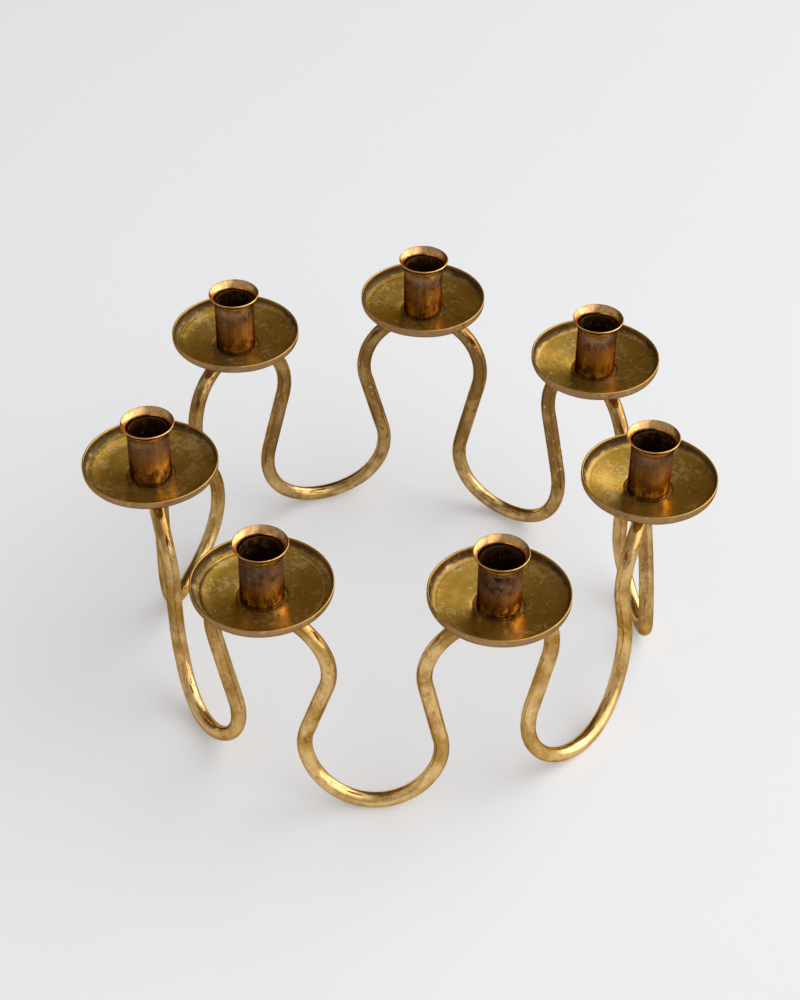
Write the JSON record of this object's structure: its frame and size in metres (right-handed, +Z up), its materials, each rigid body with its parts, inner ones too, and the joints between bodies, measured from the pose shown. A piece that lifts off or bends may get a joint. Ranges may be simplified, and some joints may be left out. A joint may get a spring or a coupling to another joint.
{
  "type": "candelabra",
  "caption": "Table candelabra: a ring of brass rod bent as an upright wave, with a drip dish and a flared candle cup on each crest.",
  "frame": {"origin": "on the table surface, under the middle of the bounding box", "axes": "+Z up; +Y towards the first arm; +X to the right when looking along +Y, along the longest side of the box"},
  "size_m": [0.3574, 0.3508, 0.1853],
  "materials": {
    "rod_brass": "satin, aged, with darker patches",
    "dish_brass": "satin, aged, olive-gold with a mottled patina and pale specks",
    "cup_brass": "satin, aged, brown streaks, brighter on the lip",
    "screw_brass": "dull, tarnished"
  },
  "bodies": {
    "root": {"bent_rod_1": "rod_brass", "bent_rod_2": "rod_brass", "bent_rod_3": "rod_brass", "bent_rod_4": "rod_brass", "bent_rod_5": "rod_brass", "bent_rod_6": "rod_brass", "bent_rod_7": "rod_brass", "drip_dish_1": "dish_brass", "drip_dish_2": "dish_brass", "drip_dish_3": "dish_brass", "drip_dish_4": "dish_brass", "drip_dish_5": "dish_brass", "drip_dish_6": "dish_brass", "drip_dish_7": "dish_brass", "candle_cup_1": "cup_brass", "candle_cup_2": "cup_brass", "candle_cup_3": "cup_brass", "candle_cup_4": "cup_brass", "candle_cup_5": "cup_brass", "candle_cup_6": "cup_brass", "candle_cup_7": "cup_brass", "cup_screw_1": "screw_brass", "cup_screw_2": "screw_brass", "cup_screw_3": "screw_brass", "cup_screw_4": "screw_brass", "cup_screw_5": "screw_brass", "cup_screw_6": "screw_brass", "cup_screw_7": "screw_brass"}
  },
  "joints": []
}
